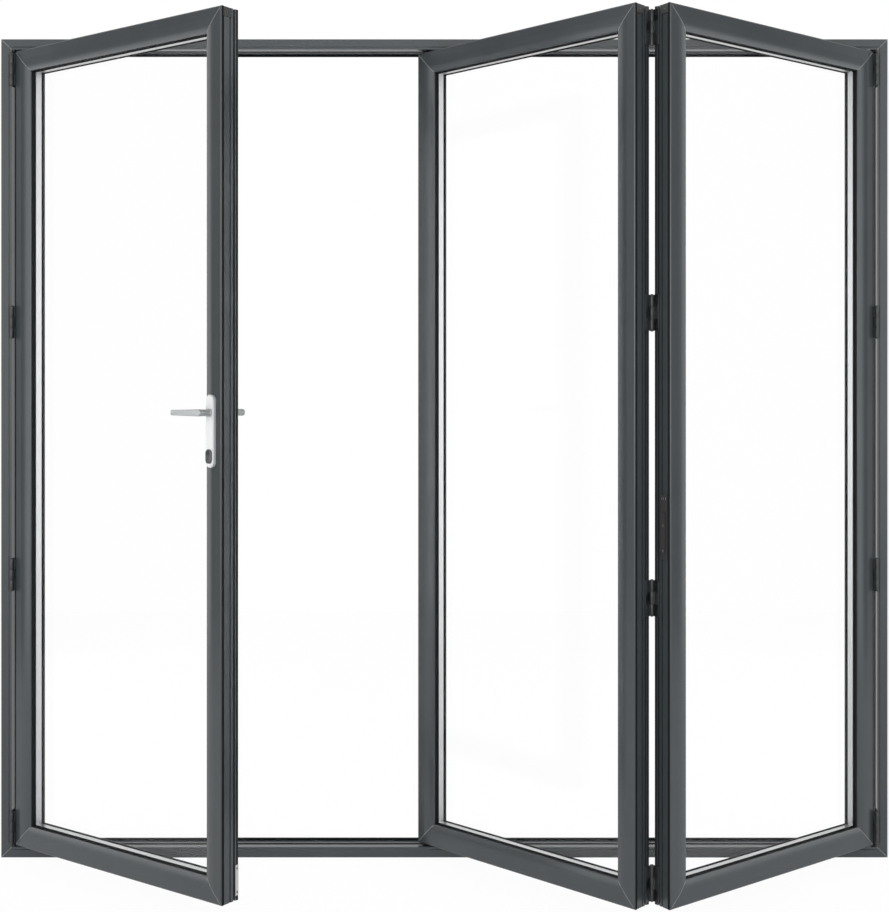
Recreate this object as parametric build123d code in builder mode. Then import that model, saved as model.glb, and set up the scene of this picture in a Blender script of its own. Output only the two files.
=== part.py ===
from build123d import *
import os
from math import asin, atan2, cos, degrees, hypot, radians, sin

# Aluminium bifold door, millimetres. X runs along the opening, Y points indoors, Z is up.
# The origin is the middle of the underside of the sill. The leaves fold outwards, to -Y.

# Outer frame
frame_width = 2275.0
frame_height = 2100.0
frame_depth = 70.0
frame_face = 26.0
frame_wall = 2.5
frame_step = 1.5
frame_step_width = 7.0
lip_reach = 3.0
lip_thickness = 8.0
track_width = 14.0
track_depth = 14.0
liner_wall = 1.5
seal_width = 5.0
seal_height = 2.5

# Leaves
leaf_thickness = 51.0
leaf_face = 56.0
leaf_gap = 5.0
meeting_gap = 8.0
leaf_set_back = 3.0
door_width = 763.0
edge_round = 3.0
lip_round = 4.0
slope_width = 32.0
slope_fall = 6.5
glass_lip_depth = 15.0
glass_rebate = 14.0
leaf_wall = 2.5
edge_wall = 12.0

# Grooves in the outer edge of every leaf, by their distance behind the front face
front_seal_place = 1.0
front_seal_width = 4.5
middle_groove_place = 25.0
middle_groove_width = 3.0
middle_groove_depth = 3.0
hardware_groove_place = 36.0
hardware_groove_width = 5.0
hardware_groove_depth = 8.0
rear_seal_width = 5.0
rear_seal_margin = 1.0
edge_seal_depth = 3.0

# Sealed glass units
pane_thickness = 4.0
pane_space = 16.0
glass_edge_gap = 4.0
glazing_seal = 4.0
inner_seal = 3.0
spacer_width = 10.0
bead_wall = 2.0
bead_round = 1.5

# How far the leaves stand open, in degrees
door_open = 34.0
fold_open = 39.0

# Hinges
hinge_count = 4
hinge_end_distance = 78.0
hinge_length = 82.0
hinge_radius = 5.0
hinge_pin_radius = 3.0
barrel_sides = 16
hinge_plate = 2.0
hinge_proud = 6.0
hinge_reach = 34.0
fold_hinge_plate = 2.5
fold_hinge_reach = 21.5
fold_hinge_set_back = 0.5
knuckle_gap = 0.5
pin_clearance = 0.3

# Guide of the folding pair's free end
guide_inset = 25.0
guide_pin_radius = 4.0
guide_plate_length = 44.0
guide_plate_width = 20.0
guide_plate = 3.0
carriage_length = 46.0
slide_clearance = 0.3

# Lever furniture on the traffic door
spindle_height = 1147.0
lock_backset = 30.0
lock_centres = 92.0
backplate_width = 25.0
backplate_height = 166.0
backplate_thickness = 9.0
backplate_above_spindle = 41.0
backplate_bevel = 2.0
neck_radius = 7.5
lever_stand_off = 38.0
lever_length = 92.0
lever_height = 16.0
lever_tip_height = 11.0
lever_depth = 12.0
lever_bevel = 2.0
spindle_side = 8.0
furniture_clearance = 1.0
cylinder_radius = 8.5
cylinder_width = 10.0
cylinder_height = 30.0
cylinder_proud = 3.0

# Bolt handle on the fold edge of the right leaf
bolt_height = 889.0
bolt_length = 147.0
bolt_width = 25.0
bolt_plate = 2.5
bolt_corner = 2.5
bolt_place = 20.0
bolt_lever_length = 92.0
bolt_lever_width = 15.0
bolt_lever_thickness = 3.5
bolt_lever_drop = 12.0
bolt_slot_length = 9.0
bolt_slot_width = 2.5
bolt_slot_pitch = 6.0

# Small parts on the free edges
cap_place = 18.0
cap_width = 24.0
cap_height = 20.0
cap_thickness = 2.0
cap_bevel = 0.5
catch_height = 70.0
catch_width = 9.0
catch_thickness = 1.5
catch_above_bottom = 11.0

# What follows from the sizes above
up = Vector(0, 0, 1)
half_width = frame_width / 2
front_y = -frame_depth / 2
leaf_inset = frame_face + leaf_gap
leaf_height = frame_height - 2 * leaf_inset
fold_width = (frame_width - 2 * leaf_inset - door_width - 2 * meeting_gap) / 2
hinge_inset = frame_face + leaf_gap / 2
hinge_offset = hinge_proud + leaf_set_back
fold_axis_depth = leaf_thickness + hinge_radius + fold_hinge_set_back
track_centre = leaf_set_back + leaf_thickness / 2
track_y = front_y + track_centre
rebate_inset = leaf_face - glass_rebate
glass_front = glass_lip_depth + glazing_seal
unit_thickness = 2 * pane_thickness + pane_space
glass_back = glass_front + unit_thickness
glass_inset = rebate_inset + glass_edge_gap
hinge_step = (frame_height - 2 * hinge_end_distance) / (hinge_count - 1)
hinge_levels = [hinge_end_distance + number * hinge_step for number in range(hinge_count)]
knuckle_length = (hinge_length - 2 * knuckle_gap) / 3
bore_radius = (hinge_pin_radius + pin_clearance) / cos(radians(180 / barrel_sides))
middle_knuckle = [(knuckle_length + knuckle_gap, 2 * knuckle_length + knuckle_gap)]
end_knuckles = [(0, knuckle_length), (hinge_length - knuckle_length, hinge_length)]


def export_piece(piece, name):
    piece.label = name
    export_step(piece, f"parts/{name}.step")


def leaf_direction(turn):
    """Along a leaf, left to right seen from outside; a positive turn brings its right end forwards."""
    return Vector(cos(radians(turn)), -sin(radians(turn)), 0)


def leaf_front(direction):
    return direction.cross(up)


def leaf_plane(corner, direction):
    """The front face of a leaf: x along it, y up, z outwards, from its bottom left corner."""
    return Plane(origin=corner, x_dir=direction, z_dir=leaf_front(direction))


def in_plane(plane, x, y=0.0, z=0.0):
    """A point given in a plane's own directions."""
    return plane.origin + plane.x_dir * x + plane.y_dir * y + plane.z_dir * z


def slab(plane, x_span, y_span, z_span):
    """A straight block between the given distances along the plane's directions."""
    width = x_span[1] - x_span[0]
    height = y_span[1] - y_span[0]
    corner = in_plane(plane, x_span[0], y_span[0], z_span[0])
    with BuildPart() as block:
        with BuildSketch(Plane(origin=corner, x_dir=plane.x_dir, z_dir=plane.z_dir)):
            Rectangle(width, height, align=(Align.MIN, Align.MIN))
        extrude(amount=z_span[1] - z_span[0])
    return block.part


def gather(*pieces):
    """Several pieces as one; those that touch are joined."""
    with BuildPart() as group:
        for piece in pieces:
            add(piece)
    return group.part


def pocket(x_low, x_high, y_low, y_high):
    """Cuts a rectangle out of the section being drawn."""
    with Locations(((x_low + x_high) / 2, (y_low + y_high) / 2)):
        Rectangle(x_high - x_low, y_high - y_low, mode=Mode.SUBTRACT)


def band(x_low, x_high, y_low, y_high):
    """Adds a rectangle to the section being drawn."""
    with Locations(((x_low + x_high) / 2, (y_low + y_high) / 2)):
        Rectangle(x_high - x_low, y_high - y_low)


# Sections: x is the distance inwards from the outer edge, y is 0 at the front and negative behind it

track_front = -(track_centre - track_width / 2)
track_back = track_front - track_width
track_floor = frame_face - track_depth
lip_front = -(frame_depth - lip_thickness)
step_start = frame_face - frame_step_width
back_wall = -frame_depth + frame_wall
chamber_inner = track_floor - frame_wall
chamber_outer = frame_face - frame_wall
with BuildSketch() as frame_section:
    with BuildLine():
        Polyline(
            (0, 0),
            (step_start, 0),
            (step_start + frame_step, -frame_step),
            (frame_face, -frame_step),
            (frame_face, lip_front),
            (frame_face + lip_reach, lip_front),
            (frame_face + lip_reach, -frame_depth),
            (0, -frame_depth),
            close=True,
        )
    make_face()
    pocket(track_floor, frame_face, track_back, track_front)
    pocket(frame_wall, chamber_inner, back_wall, -frame_step - frame_wall)
    pocket(chamber_inner, chamber_outer, back_wall, track_back - frame_wall)
    pocket(chamber_inner, chamber_outer, track_front + frame_wall, -frame_step - frame_wall)

with BuildSketch() as frame_seal_section:
    band(frame_face, frame_face + seal_width, lip_front, lip_front + seal_height)

with BuildSketch() as liner_section:
    band(track_floor, frame_face, track_back, track_front)
    pocket(track_floor + liner_wall, frame_face, track_back + liner_wall, track_front - liner_wall)

slope_start = leaf_face - slope_width
front_seal_front = -front_seal_place - edge_round
front_seal_back = front_seal_front - front_seal_width
middle_groove_back = -(middle_groove_place + middle_groove_width)
hardware_groove_back = -(hardware_groove_place + hardware_groove_width)
rear_seal_back = -leaf_thickness + rear_seal_margin
with BuildSketch() as leaf_section:
    with BuildLine():
        Line((0, -leaf_thickness), (0, 0))
        Line((0, 0), (slope_start, 0))
        TangentArc((slope_start, 0), (leaf_face, -slope_fall), tangent=(1, 0))
        Polyline(
            (leaf_face, -slope_fall),
            (leaf_face, -glass_lip_depth),
            (rebate_inset, -glass_lip_depth),
            (rebate_inset, -leaf_thickness),
            (0, -leaf_thickness),
        )
    make_face()
    fillet(vertices().sort_by_distance((0, 0))[0], edge_round)
    fillet(vertices().sort_by_distance((leaf_face, -slope_fall))[0], lip_round)
    pocket(0, edge_seal_depth, front_seal_back, front_seal_front)
    pocket(0, middle_groove_depth, middle_groove_back, -middle_groove_place)
    pocket(0, hardware_groove_depth, hardware_groove_back, -hardware_groove_place)
    pocket(0, edge_seal_depth, rear_seal_back, rear_seal_back + rear_seal_width)
    pocket(edge_wall, rebate_inset - leaf_wall, -leaf_thickness + leaf_wall, -leaf_wall)

with BuildSketch() as edge_seal_section:
    band(0, edge_seal_depth, front_seal_back, front_seal_front)
    band(0, edge_seal_depth, rear_seal_back, rear_seal_back + rear_seal_width)

bead_front = -(glass_back + inner_seal)
bead_back = -leaf_thickness
with BuildSketch() as bead_section:
    band(rebate_inset, leaf_face, bead_back, bead_front)
    fillet(vertices().sort_by_distance((leaf_face, bead_back))[0], bead_round)
    pocket(
        rebate_inset + bead_wall,
        leaf_face - bead_wall,
        bead_back + bead_wall,
        bead_front - bead_wall,
    )


def mitred_bar(start, inward, outward, length, section):
    """One side of a frame: the section run along it and cut at 45 degrees at both ends."""
    along = inward.cross(outward)
    end = start + along * length
    with BuildPart() as bar:
        with BuildSketch(Plane(origin=start, x_dir=inward, z_dir=along)):
            add(section.sketch)
        extrude(amount=length)
        split(bisect_by=Plane(origin=start, z_dir=along - inward), keep=Keep.TOP)
        split(bisect_by=Plane(origin=end, z_dir=(along + inward) * -1), keep=Keep.TOP)
    return bar.part


def mitred_frame(plane, width, height, section):
    """The bottom, right, top and left sides of a rectangular frame with mitred corners."""
    right = plane.x_dir
    rise = plane.y_dir
    out = plane.z_dir
    return {
        "bottom": mitred_bar(in_plane(plane, 0, 0), rise, out, width, section),
        "right": mitred_bar(in_plane(plane, width, 0), right * -1, out, height, section),
        "top": mitred_bar(in_plane(plane, width, height), rise * -1, out, width, section),
        "left": mitred_bar(in_plane(plane, 0, height), right, out, height, section),
    }


def flat_ring(plane, width, height, outer_inset, inner_inset, front, back):
    """A flat rectangular ring parallel to a leaf, between two depths behind its front face."""
    with BuildPart() as ring:
        with BuildSketch(plane.offset(-back)):
            with Locations((width / 2, height / 2)):
                Rectangle(width - 2 * outer_inset, height - 2 * outer_inset)
                Rectangle(width - 2 * inner_inset, height - 2 * inner_inset, mode=Mode.SUBTRACT)
        extrude(amount=back - front)
    return ring.part


def pane(plane, width, height, front):
    """One sheet of glass in a leaf."""
    across = (glass_inset, width - glass_inset)
    rise = (glass_inset, height - glass_inset)
    return slab(plane, across, rise, (-front - pane_thickness, -front))


def hinge_half(axis, toward, face, plate, reach, pinned):
    """The plates and knuckles on one side of a row of hinges.

    toward points from the pin to the face that the plate is screwed to, at the distance face.
    reach runs from the pin along that face, and its sign says which way. The pinned half has the
    two end knuckles and holds the pin; the other half has the middle knuckle, bored for it.
    """
    side = 1 if reach > 0 else -1
    plate_start = side * (hinge_radius + knuckle_gap)
    plate_middle = face - plate / 2
    with BuildPart() as half:
        for level in hinge_levels:
            base = Plane(
                origin=(axis.X, axis.Y, level - hinge_length / 2),
                x_dir=toward,
                z_dir=up,
            )
            with BuildSketch(base):
                with Locations((plate_middle, (plate_start + reach) / 2)):
                    Rectangle(plate, abs(reach - plate_start))
            extrude(amount=hinge_length)
            for low, high in end_knuckles if pinned else middle_knuckle:
                with BuildSketch(base.offset(low)):
                    RegularPolygon(hinge_radius, barrel_sides)
                    with Locations((plate_middle, reach / 2)):
                        Rectangle(plate, abs(reach))
                    if not pinned:
                        RegularPolygon(bore_radius, barrel_sides, mode=Mode.SUBTRACT)
                extrude(amount=high - low)
            if pinned:
                with BuildSketch(base):
                    RegularPolygon(hinge_pin_radius, barrel_sides)
                extrude(amount=hinge_length)
    return half.part


os.makedirs("parts", exist_ok=True)

# Outer frame
frame_front = Plane(origin=(-half_width, front_y, 0), x_dir=(1, 0, 0), z_dir=(0, -1, 0))
frame_bars = mitred_frame(frame_front, frame_width, frame_height, frame_section)
export_piece(frame_bars["bottom"], "sill")
export_piece(frame_bars["top"], "head")
export_piece(frame_bars["left"], "left_jamb")
export_piece(frame_bars["right"], "right_jamb")

seal_bars = mitred_frame(frame_front, frame_width, frame_height, frame_seal_section)
export_piece(gather(*seal_bars.values()), "frame_seals")
liner_bars = mitred_frame(frame_front, frame_width, frame_height, liner_section)
export_piece(gather(liner_bars["bottom"], liner_bars["top"]), "track_liners")

# Where the leaves stand
door_axis = Vector(-half_width + hinge_inset, front_y - hinge_proud, 0)
door_direction = leaf_direction(door_open)
door_corner = (
    door_axis
    + door_direction * (leaf_gap / 2)
    - leaf_front(door_direction) * hinge_offset
    + up * leaf_inset
)
door_plane = leaf_plane(door_corner, door_direction)

right_axis = Vector(half_width - hinge_inset, front_y - hinge_proud, 0)
right_direction = leaf_direction(-fold_open)
right_corner = (
    right_axis
    - right_direction * (fold_width + leaf_gap / 2)
    - leaf_front(right_direction) * hinge_offset
    + up * leaf_inset
)
right_plane = leaf_plane(right_corner, right_direction)

# The middle leaf turns about the fold hinges until its guide stands on the track
fold_axis = in_plane(right_plane, -meeting_gap / 2, -leaf_inset, -fold_axis_depth)
guide_along = fold_width + meeting_gap / 2 - guide_inset
guide_across = fold_axis_depth - leaf_thickness / 2
guide_turn = asin((track_y - fold_axis.Y) / hypot(guide_along, guide_across))
middle_open = degrees(guide_turn + atan2(guide_across, guide_along))
middle_direction = leaf_direction(middle_open)
middle_corner = (
    fold_axis
    - middle_direction * (fold_width + meeting_gap / 2)
    + leaf_front(middle_direction) * fold_axis_depth
    + up * leaf_inset
)
middle_plane = leaf_plane(middle_corner, middle_direction)

# Bores for the lever spindle and the key cylinder, in the door's own directions
lock_x = door_width - lock_backset
spindle_y = spindle_height - leaf_inset
cylinder_y = spindle_y - lock_centres


def cylinder_outline(grow):
    """The keyhole-shaped section of the key cylinder, made larger all round by grow."""
    drop = cylinder_height - cylinder_radius - cylinder_width / 2
    Circle(cylinder_radius + grow)
    with Locations((0, -drop / 2)):
        Rectangle(cylinder_width + 2 * grow, drop)
    with Locations((0, -drop)):
        Circle(cylinder_width / 2 + grow)


def lock_bores(depth_front, depth_back, round_radius):
    """What the spindle and the cylinder need cut out of the door between two depths."""
    base = Plane(
        origin=in_plane(door_plane, lock_x, 0, -depth_back),
        x_dir=door_direction,
        z_dir=leaf_front(door_direction),
    )
    with BuildPart() as bores:
        with BuildSketch(base):
            with Locations((0, spindle_y)):
                Circle(round_radius)
        extrude(amount=depth_back - depth_front)
        with BuildSketch(
            Plane(
                origin=in_plane(door_plane, lock_x, cylinder_y, -depth_back),
                x_dir=door_direction,
                z_dir=leaf_front(door_direction),
            )
        ):
            cylinder_outline(slide_clearance)
        extrude(amount=depth_back - depth_front)
    return bores.part


# Leaves
leaves = {
    "door": (door_plane, door_width),
    "middle": (middle_plane, fold_width),
    "right": (right_plane, fold_width),
}
spacers = {}
edge_seals = {}
for name, (plane, width) in leaves.items():
    bars = mitred_frame(plane, width, leaf_height, leaf_section)
    stiles = gather(bars["left"], bars["right"])
    rails = gather(bars["bottom"], bars["top"])
    if name == "door":
        cut = lock_bores(-leaf_thickness, 2 * leaf_thickness, neck_radius + furniture_clearance)
        with BuildPart() as bored_stiles:
            add(stiles)
            add(cut, mode=Mode.SUBTRACT)
        stiles = bored_stiles.part
    export_piece(stiles, f"{name}_stiles")
    export_piece(rails, f"{name}_rails")

    inner_front = glass_front + pane_thickness + pane_space
    panes = gather(
        pane(plane, width, leaf_height, glass_front),
        pane(plane, width, leaf_height, inner_front),
    )
    export_piece(panes, f"{name}_panes")
    spacer_inner = glass_inset + spacer_width
    spacers[name] = flat_ring(
        plane,
        width,
        leaf_height,
        glass_inset,
        spacer_inner,
        glass_front + pane_thickness,
        inner_front,
    )
    outer_gasket = flat_ring(
        plane, width, leaf_height, glass_inset, leaf_face, glass_lip_depth, glass_front
    )
    inner_gasket = flat_ring(
        plane, width, leaf_height, glass_inset, leaf_face, glass_back, glass_back + inner_seal
    )
    export_piece(gather(outer_gasket, inner_gasket), f"{name}_glazing_seals")
    beads = mitred_frame(plane, width, leaf_height, bead_section)
    export_piece(gather(*beads.values()), f"{name}_beads")
    strips = mitred_frame(plane, width, leaf_height, edge_seal_section)
    edge_seals[name] = gather(*strips.values())

export_piece(spacers["door"], "door_spacer")
export_piece(gather(spacers["middle"], spacers["right"]), "folding_spacers")
export_piece(edge_seals["door"], "door_edge_seals")
export_piece(gather(edge_seals["middle"], edge_seals["right"]), "folding_edge_seals")

# Hinges at the jambs: plates in the gap, pins in front of the faces
left = Vector(-1, 0, 0)
right = Vector(1, 0, 0)
jamb_face = leaf_gap / 2
left_hinges = hinge_half(door_axis, left, jamb_face, hinge_plate, -hinge_reach, True)
export_piece(left_hinges, "left_jamb_hinges")
right_hinges = hinge_half(right_axis, right, jamb_face, hinge_plate, hinge_reach, True)
export_piece(right_hinges, "right_jamb_hinges")
door_hinges = hinge_half(door_axis, door_direction, jamb_face, hinge_plate, hinge_reach, False)
export_piece(door_hinges, "door_hinges")
leaf_hinges = hinge_half(
    right_axis, right_direction * -1, jamb_face, hinge_plate, -hinge_reach, False
)
export_piece(leaf_hinges, "right_leaf_hinges")

# Hinges of the fold: plates on the edges, pins behind the inner faces
fold_face = meeting_gap / 2
fold_right = hinge_half(
    fold_axis, right_direction, fold_face, fold_hinge_plate, -fold_hinge_reach, True
)
export_piece(fold_right, "fold_hinges_right")
fold_middle = hinge_half(
    fold_axis, middle_direction * -1, fold_face, fold_hinge_plate, fold_hinge_reach, False
)
export_piece(fold_middle, "fold_hinges_middle")

# Guides at the free end of the middle leaf: a plate and pin on the leaf, a carriage in the track
liner_gap = track_width - 2 * liner_wall
carriage_width = liner_gap - 2 * slide_clearance
track_open = track_depth - liner_wall
pin_rise = leaf_gap + track_open - slide_clearance
carriage_rise = track_open - 2 * slide_clearance
guide_point = in_plane(middle_plane, guide_inset, 0, -leaf_thickness / 2)
brackets = []
carriages = []
for end_height, way in ((leaf_height, 1), (0, -1)):
    seat = guide_point + up * end_height
    with BuildPart() as bracket:
        with BuildSketch(Plane(origin=seat, x_dir=middle_direction, z_dir=up * way)):
            Rectangle(guide_plate_length, guide_plate_width)
        extrude(amount=guide_plate)
        with BuildSketch(Plane(origin=seat, x_dir=middle_direction, z_dir=up * way)):
            Circle(guide_pin_radius)
        extrude(amount=pin_rise)
    brackets.append(bracket.part)
    mouth = Vector(guide_point.X, track_y, seat.Z + way * (leaf_gap + slide_clearance))
    with BuildPart() as carriage:
        with BuildSketch(Plane(origin=mouth, x_dir=(1, 0, 0), z_dir=up * way)):
            Rectangle(carriage_length, carriage_width)
            Circle(guide_pin_radius + slide_clearance, mode=Mode.SUBTRACT)
        extrude(amount=carriage_rise)
    carriages.append(carriage.part)
export_piece(gather(*brackets), "guide_brackets")
export_piece(gather(*carriages), "guide_carriages")

# Lever furniture, outside and inside
neck_bore = neck_radius + slide_clearance
spindle_bore = spindle_side + 2 * slide_clearance
spindle_reach = lever_stand_off - lever_depth
backplate_middle = spindle_y + backplate_above_spindle - backplate_height / 2


def lock_plane(y, depth, outward):
    """A plane across the spindle line at a height and a depth, facing out of the chosen face."""
    facing = leaf_front(door_direction) * outward
    return Plane(
        origin=in_plane(door_plane, lock_x, y, -depth),
        x_dir=door_direction * outward,
        z_dir=facing,
    )


furniture = {"outside": (0.0, 1), "inside": (leaf_thickness, -1)}
for side, (depth, outward) in furniture.items():
    with BuildPart() as backplate:
        with BuildSketch(lock_plane(backplate_middle, depth, outward)):
            SlotOverall(backplate_height, backplate_width, rotation=90)
        extrude(amount=backplate_thickness)
        face_centre = in_plane(
            door_plane, lock_x, backplate_middle, outward * backplate_thickness - depth
        )
        chamfer(backplate.faces().sort_by_distance(face_centre)[0].edges(), backplate_bevel)
        with BuildSketch(lock_plane(spindle_y, depth, outward)):
            Circle(neck_bore)
        extrude(amount=backplate_thickness, mode=Mode.SUBTRACT)
        with BuildSketch(lock_plane(cylinder_y, depth, outward)):
            cylinder_outline(slide_clearance)
        extrude(amount=backplate_thickness, mode=Mode.SUBTRACT)
    export_piece(backplate.part, f"{side}_backplate")

    grip_back = lever_stand_off - lever_depth / 2
    tip_radius = lever_tip_height / 2
    grip_plane = lock_plane(spindle_y, depth, outward).offset(grip_back)
    with BuildPart() as lever:
        with BuildSketch(grip_plane):
            Circle(lever_height / 2)
            with Locations((outward * (tip_radius - lever_length), 0)):
                Circle(tip_radius)
            make_hull()
        extrude(amount=lever_depth)
        broad_faces = lever.faces().filter_by(Axis(grip_plane.origin, grip_plane.z_dir))
        chamfer(broad_faces.edges(), lever_bevel)
        with BuildSketch(lock_plane(spindle_y, depth, outward)):
            Circle(neck_radius)
        extrude(amount=lever_stand_off)
        with BuildSketch(lock_plane(spindle_y, depth, outward)):
            Rectangle(spindle_bore, spindle_bore)
        extrude(amount=spindle_reach + slide_clearance, mode=Mode.SUBTRACT)
    export_piece(lever.part, f"{side}_lever")

spindle = slab(
    door_plane,
    (lock_x - spindle_side / 2, lock_x + spindle_side / 2),
    (spindle_y - spindle_side / 2, spindle_y + spindle_side / 2),
    (-leaf_thickness - spindle_reach, spindle_reach),
)
export_piece(spindle, "lever_spindle")

cylinder_reach = backplate_thickness + cylinder_proud
with BuildPart() as key_cylinder:
    with BuildSketch(lock_plane(cylinder_y, -cylinder_reach, -1)):
        cylinder_outline(0)
    extrude(amount=leaf_thickness + 2 * cylinder_reach)
export_piece(key_cylinder.part, "key_cylinder")

# Bolt handle on the fold edge of the right leaf
edge_plane = Plane(
    origin=in_plane(right_plane, 0, bolt_height - leaf_inset, -bolt_place),
    x_dir=leaf_front(right_direction),
    z_dir=right_direction * -1,
)
with BuildPart() as bolt_base:
    with BuildSketch(edge_plane):
        RectangleRounded(bolt_width, bolt_length, bolt_corner)
        with Locations((0, bolt_length / 2 - bolt_slot_length)):
            with GridLocations(bolt_slot_pitch, 0, 3, 1):
                SlotOverall(bolt_slot_length, bolt_slot_width, rotation=90, mode=Mode.SUBTRACT)
    extrude(amount=bolt_plate)
export_piece(bolt_base.part, "fold_bolt_plate")
with BuildPart() as bolt_lever:
    with BuildSketch(edge_plane.offset(bolt_plate)):
        with Locations((0, -bolt_lever_drop)):
            SlotOverall(bolt_lever_length, bolt_lever_width, rotation=90)
    extrude(amount=bolt_lever_thickness)
export_piece(bolt_lever.part, "fold_bolt_lever")


def edge_frame(plane, x, facing):
    """The outer edge of a leaf as a plane: x along its thickness, y up, z off the edge."""
    back = leaf_front(plane.x_dir) * -1
    return Plane(
        origin=in_plane(plane, x, 0, 0),
        x_dir=back * facing,
        z_dir=plane.x_dir * facing,
    )


def edge_plate(plane, x, facing, place, width, low, high, thickness):
    """A thin plate with bevelled edges on a leaf's edge, centred at a distance behind the front face."""
    edge = edge_frame(plane, x, facing)
    across = place * facing
    with BuildPart() as plate:
        with BuildSketch(edge):
            with Locations((across, (low + high) / 2)):
                Rectangle(width, high - low)
        extrude(amount=thickness)
        chamfer(plate.faces().sort_by(Axis(edge.origin, edge.z_dir))[-1].edges(), cap_bevel)
    return plate.part


cap_low = leaf_height - cap_height - cap_thickness
cap_high = leaf_height - cap_thickness
door_cap = edge_plate(
    door_plane, door_width, 1, cap_place, cap_width, cap_low, cap_high, cap_thickness
)
export_piece(door_cap, "door_edge_cap")
middle_cap = edge_plate(
    middle_plane, fold_width, 1, cap_place, cap_width, cap_low, cap_high, cap_thickness
)
right_cap = edge_plate(right_plane, 0, -1, cap_place, cap_width, cap_low, cap_high, cap_thickness)
export_piece(gather(middle_cap, right_cap), "folding_edge_caps")
catch_place = leaf_thickness - catch_width / 2
catch_high = catch_above_bottom + catch_height
catch = edge_plate(
    door_plane,
    door_width,
    1,
    catch_place,
    catch_width,
    catch_above_bottom,
    catch_high,
    catch_thickness,
)
export_piece(catch, "door_catch_plate")
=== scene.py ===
"""Finishes, seals, screws, lever furniture and the studio for an aluminium bifold door set."""

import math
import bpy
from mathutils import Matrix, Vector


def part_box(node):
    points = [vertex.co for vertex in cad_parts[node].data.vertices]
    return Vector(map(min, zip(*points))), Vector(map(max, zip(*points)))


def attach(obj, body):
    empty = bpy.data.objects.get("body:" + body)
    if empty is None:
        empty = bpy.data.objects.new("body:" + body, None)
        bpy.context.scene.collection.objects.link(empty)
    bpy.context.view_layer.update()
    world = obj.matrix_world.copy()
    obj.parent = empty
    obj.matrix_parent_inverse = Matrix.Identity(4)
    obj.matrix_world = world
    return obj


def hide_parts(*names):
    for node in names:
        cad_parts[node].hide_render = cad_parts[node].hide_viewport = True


bl_info = {
    "name": "Aluminium Bifold Door Looks",
    "version": (1, 0, 0),
    "blender": (4, 5, 0),
    "location": "3D View > Sidebar > Bifold Door",
    "description": "Dresses the door's metal, glass and seals and sets up its studio",
    "category": "Object",
}

import bpy
from mathutils import Matrix, Vector

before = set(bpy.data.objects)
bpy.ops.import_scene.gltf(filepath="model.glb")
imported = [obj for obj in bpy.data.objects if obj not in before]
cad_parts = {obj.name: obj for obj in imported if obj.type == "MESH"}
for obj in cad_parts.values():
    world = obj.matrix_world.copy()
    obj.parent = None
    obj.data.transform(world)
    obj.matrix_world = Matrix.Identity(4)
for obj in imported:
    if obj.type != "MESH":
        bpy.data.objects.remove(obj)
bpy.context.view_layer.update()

MM = 0.001
UP = Vector((0, 0, 1))
IMAGE_WIDTH = 889
IMAGE_HEIGHT = 912
# The pixel row of the photograph's level line and the pixel column that the camera faces.
LEVEL_ROW = 394
FACED_COLUMN = 560

# Sizes of the CAD model in millimetres; rises are heights above a leaf's lower edge.
LEAF_DEPTH = 51.0
LEAF_FOOT = 31.0
LOCK_BACKSET = 30.0
SPINDLE_RISE = 1116.0
CYLINDER_RISE = 1024.0
BOLT_RISE = 889.0 - LEAF_FOOT
BOLT_BACK = 20.0
CAP_SCREW_DROP = 12.0

# The side cards' distance from the middle, their middle's height and their own height, in metres.
CARD_AWAY = 9.0
CARD_MIDDLE = 2.5
CARD_TALL = 9.0
# The side cards' glow along Y, as shares of their brightest: the flat faces mirror the dark
# part, and the rolled edges mirror further and further out.
CARD_GLOW = (
    (-9.9, 1.0),
    (-5.5, 0.78),
    (-3.4, 0.53),
    (-2.2, 0.17),
    (-1.7, 0.04),
    (-0.3, 0.03),
    (0.45, 0.41),
    (2.5, 0.47),
    (8.1, 0.47),
)


# Colour and material helpers


def linear(hex_code, alpha=1.0):
    """An sRGB hex colour as the linear colour that sockets take."""
    channels = [int(hex_code[place : place + 2], 16) / 255 for place in (1, 3, 5)]
    return (
        *(c / 12.92 if c <= 0.04045 else ((c + 0.055) / 1.055) ** 2.4 for c in channels),
        alpha,
    )


def add_node(tree, kind, values=None, links=None, **settings):
    """Adds a node with its settings, its socket values and the outputs that feed its sockets."""
    node = tree.nodes.new(f"ShaderNode{kind}")
    for name, value in settings.items():
        setattr(node, name, value)
    for socket, value in (values or {}).items():
        node.inputs[socket].default_value = value
    for socket, output in (links or {}).items():
        tree.links.new(output, node.inputs[socket])
    return node


def new_material(name):
    """An empty material with its output node, and its tree."""
    material = bpy.data.materials.new(name)
    material.use_nodes = True
    material.node_tree.nodes.clear()
    return material, material.node_tree


def show(tree, shader):
    add_node(tree, "OutputMaterial", links={"Surface": shader})


def grains(tree, size_mm, detail=2.0, stretch=(1, 1, 1)):
    """Noise whose grains are that many millimetres across, on the piece's own coordinates."""
    place = add_node(tree, "TexCoord").outputs["Object"]
    mapped = add_node(tree, "Mapping", {"Scale": stretch}, {"Vector": place})
    noise = add_node(
        tree,
        "TexNoise",
        {"Scale": 1 / (size_mm * MM), "Detail": detail, "Roughness": 0.55},
        {"Vector": mapped.outputs["Vector"]},
    )
    return noise.outputs["Fac"]


def between(tree, fac, low, high):
    """A noise value spread between two numbers."""
    spread = add_node(tree, "MapRange", {"To Min": low, "To Max": high}, {"Value": fac})
    return spread.outputs["Result"]


def blend_colours(tree, fac, first, second):
    """A colour between two linear colours, by a noise value."""
    ramp = add_node(tree, "ValToRGB", links={"Fac": fac})
    ramp.color_ramp.elements[0].color = first
    ramp.color_ramp.elements[1].color = second
    return ramp.outputs["Color"]


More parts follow.
